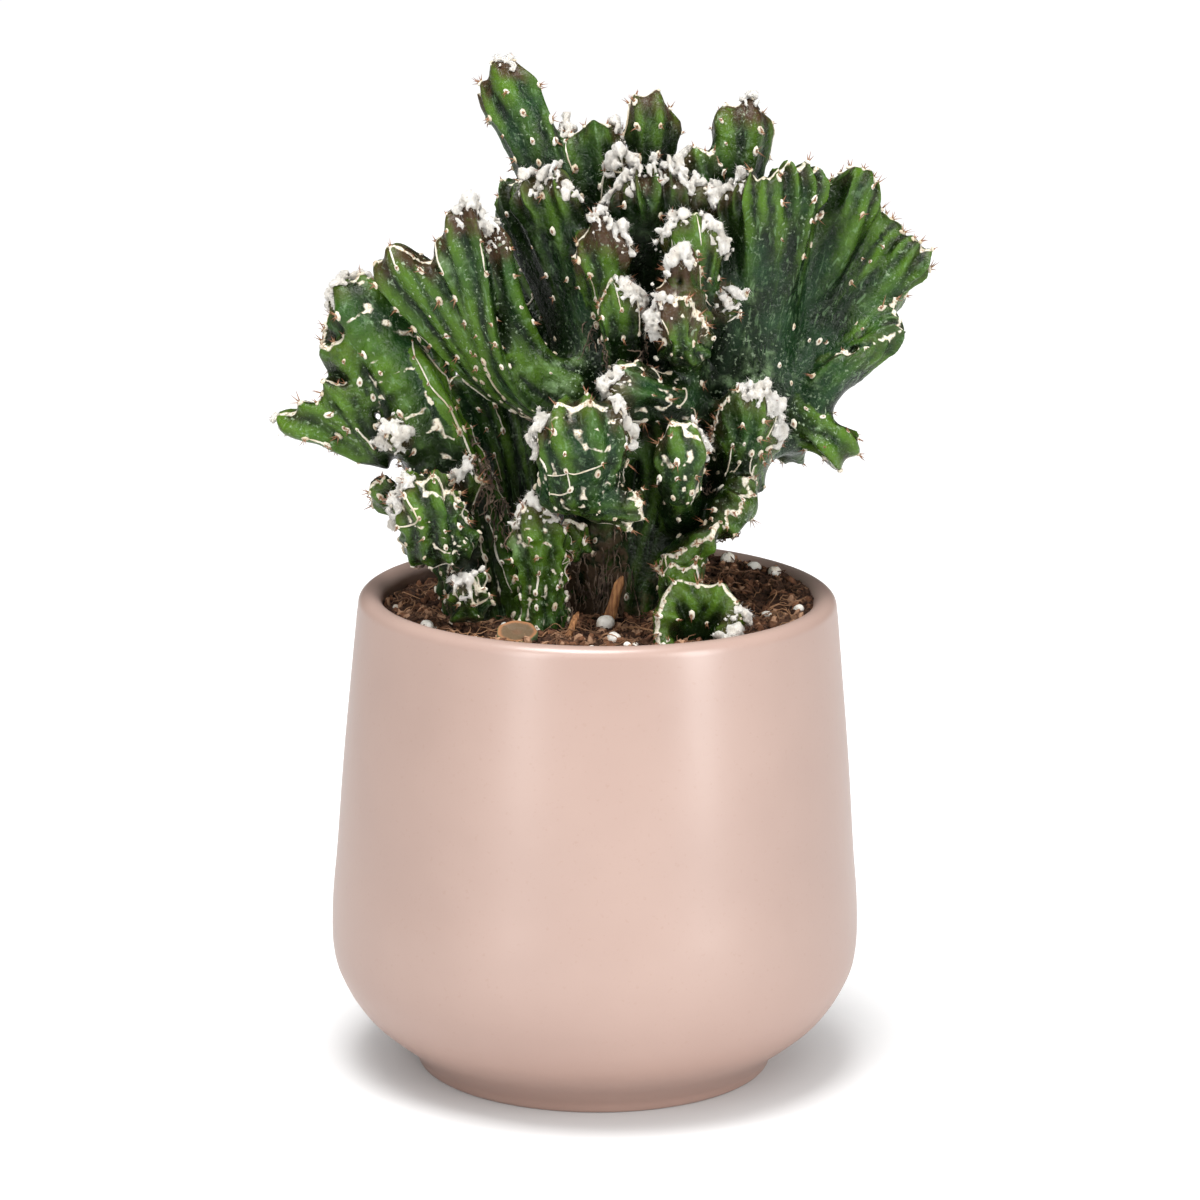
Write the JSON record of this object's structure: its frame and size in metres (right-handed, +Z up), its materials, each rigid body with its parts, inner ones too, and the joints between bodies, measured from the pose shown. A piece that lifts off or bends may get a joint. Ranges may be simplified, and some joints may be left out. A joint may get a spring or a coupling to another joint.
{
  "type": "potted crested cactus",
  "caption": "Crested columnar cactus with fan-shaped ribbed stems, woolly growing edges and short spines, in soil in a rounded pink glazed pot.",
  "frame": {"origin": "middle of the pot's foot, on the surface that the pot stands on", "axes": "+Z up along the pot's axis; -Y towards the front of the plant, as pictured; +X to the right in that view"},
  "size_m": [0.1658, 0.136, 0.2627],
  "materials": {
    "glaze": "satin",
    "soil": "matte",
    "cactus_skin": "satin",
    "perlite": "matte",
    "bark": "matte",
    "wool": "matte",
    "spine": "matte"
  },
  "bodies": {
    "root": {"pot": "glaze", "soil": "soil", "stem_main": "cactus_skin", "stem_left": "cactus_skin", "front_offset": "cactus_skin", "soil_crest": "cactus_skin", "cut_stub": "cactus_skin", "perlite_1": "perlite", "perlite_2": "perlite", "perlite_3": "perlite", "perlite_4": "perlite", "perlite_5": "perlite", "perlite_6": "perlite", "perlite_7": "perlite", "perlite_8": "perlite", "bark_splinter": "bark", "twig": "bark"}
  },
  "joints": []
}
